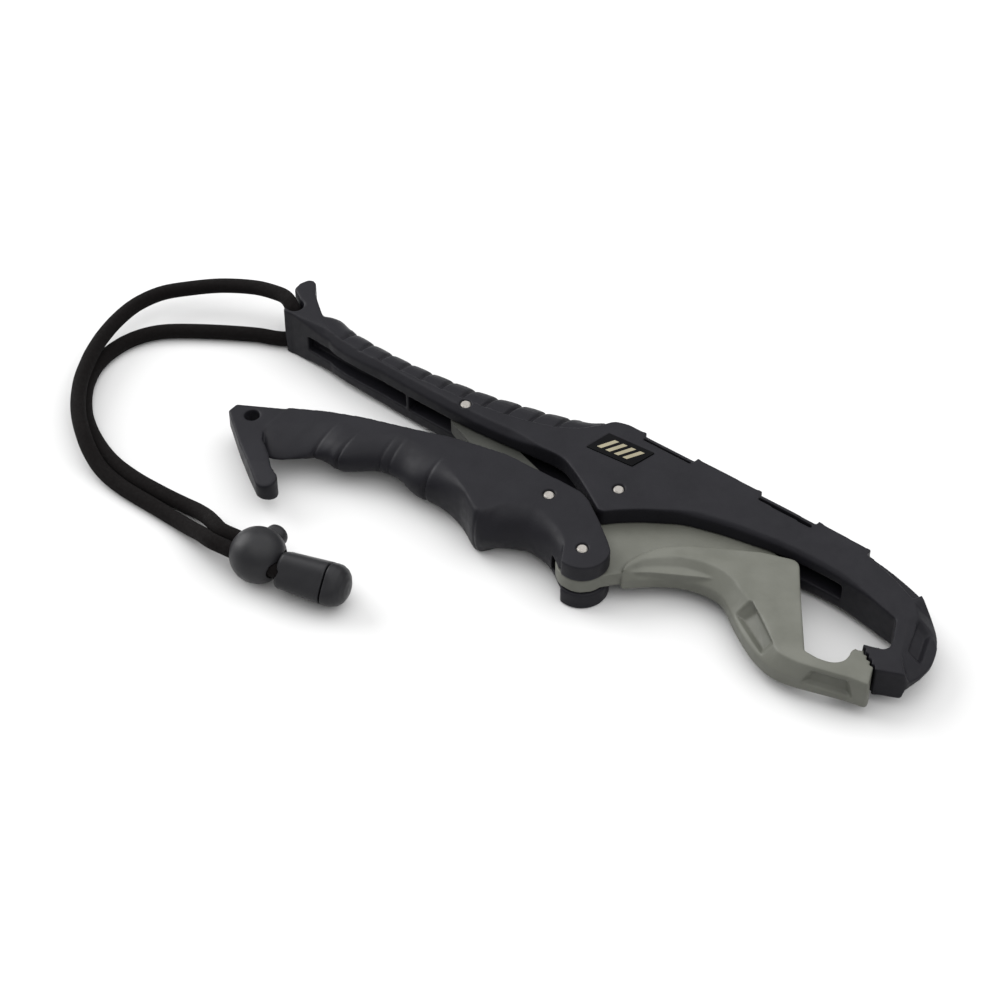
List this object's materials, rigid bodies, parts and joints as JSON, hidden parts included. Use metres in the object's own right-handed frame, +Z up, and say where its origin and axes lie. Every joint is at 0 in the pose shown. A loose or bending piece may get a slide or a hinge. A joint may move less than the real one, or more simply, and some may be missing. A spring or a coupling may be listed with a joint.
{
  "type": "fish lip grip",
  "caption": "Locking plastic fish lip grip with a squeeze handle, toothed jaw tips, and a looped lanyard cord with a ball lock.",
  "frame": {"origin": "centre of the tool's plan box, without its cord, on the surface the tool lies on", "axes": "+X runs from the tail to the jaw tips, +Y from the handle to the frame's back, +Z up out of the upper cheek, along the pins"},
  "size_m": [0.2855, 0.1126, 0.0177],
  "materials": {
    "black_plastic": "fine satin texture",
    "grey_plastic": "fine satin texture",
    "pin_steel": "bright cut ends",
    "badge_film": "printed film",
    "cord_weave": "woven nylon",
    "lock_plastic": "smooth satin",
    "spring_steel": "drawn wire"
  },
  "bodies": {
    "frame": {"frame": "black_plastic", "jaw_pivot_pin": "pin_steel", "link_frame_pin": "pin_steel", "badge": "badge_film", "lanyard_cord": "cord_weave"},
    "jaw": {"jaw": "grey_plastic"},
    "handle": {"handle": "black_plastic", "jaw_handle_pin": "pin_steel", "handle_link_pin": "pin_steel"},
    "link": {"toggle_link": "grey_plastic"},
    "cord_end": {"cord_end_barrel": "lock_plastic", "cord_end_cap": "lock_plastic"},
    "cord_lock": {"cord_lock_ball": "lock_plastic", "cord_lock_spring": "spring_steel"},
    "lock_button": {"cord_lock_button": "lock_plastic"}
  },
  "joints": [
    {"name": "jaw_swing", "type": "hinge", "parent": "frame", "child": "jaw", "pos_m": [0.01605, 0.0171, 0.00875], "axis": [0, 0, 1], "range_deg": [-25, 0]},
    {"name": "handle_swing", "type": "hinge", "parent": "jaw", "child": "handle", "pos_m": [0.02175, -0.0089, 0.00875], "axis": [0, 0, 1], "range_deg": [0, 73]},
    {"name": "link_swing", "type": "hinge", "parent": "frame", "child": "link", "pos_m": [-0.04245, 0.0188, 0.00875], "axis": [0, 0, 1], "range_deg": [-32, 0]},
    {"name": "cord_end_carry", "type": "hinge", "parent": "frame", "child": "cord_end", "pos_m": [0.02175, -0.0089, 0.00875], "axis": [0, 0, 1], "range_deg": [0, 48], "deforming": ["lanyard_cord"]},
    {"name": "lock_slide", "type": "slide", "parent": "cord_end", "child": "cord_lock", "axis": [-0.9945, -0.1045, 0], "range_m": [0, 0.005]},
    {"name": "button_press", "type": "slide", "parent": "cord_lock", "child": "lock_button", "axis": [0.1045, -0.9945, 0], "range_m": [0, 0.0014], "stiffness_N_per_m": 400, "springref_m": -0.002, "deforming": ["cord_lock_spring"]}
  ],
  "couplings": [
    {"joint": "jaw_swing", "follows": "handle_swing", "ratio": -0.34247},
    {"joint": "link_swing", "follows": "handle_swing", "ratio": -0.43836},
    {"joint": "cord_end_carry", "follows": "handle_swing", "ratio": 0.65753}
  ]
}
